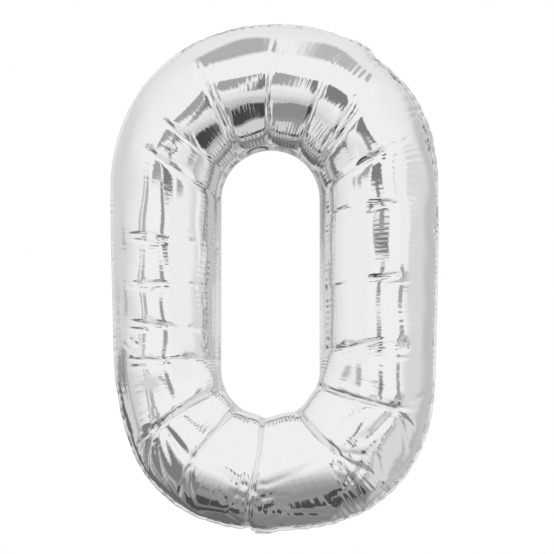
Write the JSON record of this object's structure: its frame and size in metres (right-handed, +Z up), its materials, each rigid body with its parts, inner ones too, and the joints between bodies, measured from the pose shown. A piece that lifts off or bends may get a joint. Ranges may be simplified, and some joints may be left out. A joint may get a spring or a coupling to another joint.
{
  "type": "foil number balloon",
  "caption": "Inflated foil balloon shaped as the numeral zero, with welded seams, a folded filling tail, a self-sealing valve and hang tabs.",
  "frame": {"origin": "centre of the balloon, midway between its top and bottom, its sides and its two faces", "axes": "+Z up along the numeral's height, -Y out of its front face, +X to the right as the front is read"},
  "size_m": [0.56, 0.196, 0.8613],
  "materials": {
    "silver_foil": "mirror-bright metallised film with fine crinkles",
    "welded_foil": "bright metallised film, dulled and gathered by heat welding",
    "valve_film": "clear to milky thin film"
  },
  "bodies": {
    "envelope": {"front_panel": "silver_foil", "back_panel": "silver_foil", "outer_weld_margin": "welded_foil", "counter_weld_margin": "welded_foil"},
    "tail": {"tail_front_ply": "silver_foil", "tail_back_ply": "silver_foil"},
    "hang_tab_left": {"hang_tab_left": "welded_foil"},
    "hang_tab_right": {"hang_tab_right": "welded_foil"},
    "valve_front": {"valve_film_front": "valve_film"},
    "valve_back": {"valve_film_back": "valve_film"}
  },
  "joints": [
    {"name": "tail_fold", "type": "hinge", "parent": "envelope", "child": "tail", "pos_m": [-0.02, 0, -0.4306], "axis": [-1, 0, 0], "range_deg": [0, 208]},
    {"name": "hang_tab_left_fold", "type": "hinge", "parent": "envelope", "child": "hang_tab_left", "pos_m": [-0.15326, 0, 0.38984], "axis": [0.8533, 0, 0.5214], "range_deg": [0, 208]},
    {"name": "hang_tab_right_fold", "type": "hinge", "parent": "envelope", "child": "hang_tab_right", "pos_m": [0.15326, 0, 0.38984], "axis": [0.8533, 0, -0.5214], "range_deg": [0, 208]},
    {"name": "valve_front_open", "type": "hinge", "parent": "envelope", "child": "valve_front", "pos_m": [-0.02, -0.00035, -0.427], "axis": [1, 0, 0], "range_deg": [0, 4], "stiffness_Nm_per_rad": 0.0002},
    {"name": "valve_back_open", "type": "hinge", "parent": "envelope", "child": "valve_back", "pos_m": [-0.02, 0.00035, -0.427], "axis": [-1, 0, 0], "range_deg": [0, 4], "stiffness_Nm_per_rad": 0.0002}
  ],
  "couplings": [
    {"joint": "valve_back_open", "follows": "valve_front_open", "ratio": 1}
  ]
}
